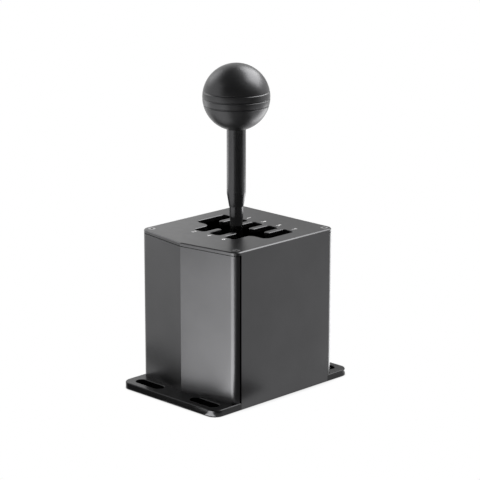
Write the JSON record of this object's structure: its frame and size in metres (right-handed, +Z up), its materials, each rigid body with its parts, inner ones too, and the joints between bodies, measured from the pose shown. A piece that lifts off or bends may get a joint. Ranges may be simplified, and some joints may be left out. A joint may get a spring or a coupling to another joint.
{
  "type": "sim racing gear shifter",
  "caption": "Desk-mounted H-pattern gear shifter for driving games: boxy metal body on a slotted base plate, gated top, and a lever with a ball knob on a sprung gimbal.",
  "frame": {"origin": "on the desk under the upright lever, at the middle of the base plate's underside", "axes": "+X to the driver's right, -Y towards the driver, +Z up along the upright lever"},
  "size_m": [0.1, 0.144, 0.2438],
  "materials": {
    "anodised_body": "dark satin anodised",
    "lever_black": "satin black anodised",
    "knob_black": "turned, satin black anodised",
    "black_screw": "blackened",
    "plain_aluminium": "machined",
    "bright_steel": "ground",
    "spring_steel": "drawn wire",
    "brass": "turned",
    "acetal": "turned",
    "magnet_nickel": "nickel plated",
    "circuit_board": "solder mask",
    "socket_shell": "plated"
  },
  "bodies": {
    "root": {"base_plate": "anodised_body", "left_side_panel": "anodised_body", "right_side_panel": "anodised_body", "front_cover": "anodised_body", "rear_cover": "anodised_body", "top_plate": "anodised_body", "top_screws": "black_screw", "cover_screws": "black_screw", "panel_screws": "black_screw", "block_screws": "black_screw", "front_bearing_block": "plain_aluminium", "rear_bearing_block": "plain_aluminium", "bearing_outer_rings": "bright_steel", "detent_plate": "bright_steel", "detent_plate_screws": "black_screw", "spring_seats": "acetal", "centring_springs": "spring_steel", "select_sensor_board": "circuit_board", "select_board_spacers": "brass", "select_board_screws": "black_screw", "main_board": "circuit_board", "board_standoffs": "brass", "board_screws": "black_screw", "usb_socket": "socket_shell"},
    "select_cradle": {"gimbal_cradle": "plain_aluminium", "bearing_inner_rings": "bright_steel", "shaft_circlips": "bright_steel", "select_magnet": "magnet_nickel", "pivot_bushes": "brass", "spring_caps": "acetal", "shift_sensor_board": "circuit_board", "shift_board_spacers": "brass", "shift_board_screws": "black_screw"},
    "shift_lever": {"pivot_block": "plain_aluminium", "cross_pin": "bright_steel", "pin_clips": "bright_steel", "shift_magnet": "magnet_nickel", "lever_rod": "lever_black", "lock_nut": "black_screw", "lever_sleeve": "lever_black", "knob_insert": "brass", "shift_knob": "knob_black", "detent_barrel": "plain_aluminium", "plunger_spring": "spring_steel"},
    "plunger": {"detent_plunger": "bright_steel"}
  },
  "joints": [
    {"name": "select_swing", "type": "hinge", "parent": "root", "child": "select_cradle", "pos_m": [0, 0, 0.04], "axis": [0, 1, 0], "range_deg": [-11.5, 11.5], "stiffness_Nm_per_rad": 5, "deforming": ["centring_springs"]},
    {"name": "shift_swing", "type": "hinge", "parent": "select_cradle", "child": "shift_lever", "pos_m": [0, 0, 0.04], "axis": [1, 0, 0], "range_deg": [-12.97, 12.97]},
    {"name": "plunger_slide", "type": "slide", "parent": "shift_lever", "child": "plunger", "axis": [0, 0, -1], "range_m": [0, 0.0012], "stiffness_N_per_m": 1500, "springref_m": 0.006, "deforming": ["plunger_spring"]}
  ]
}
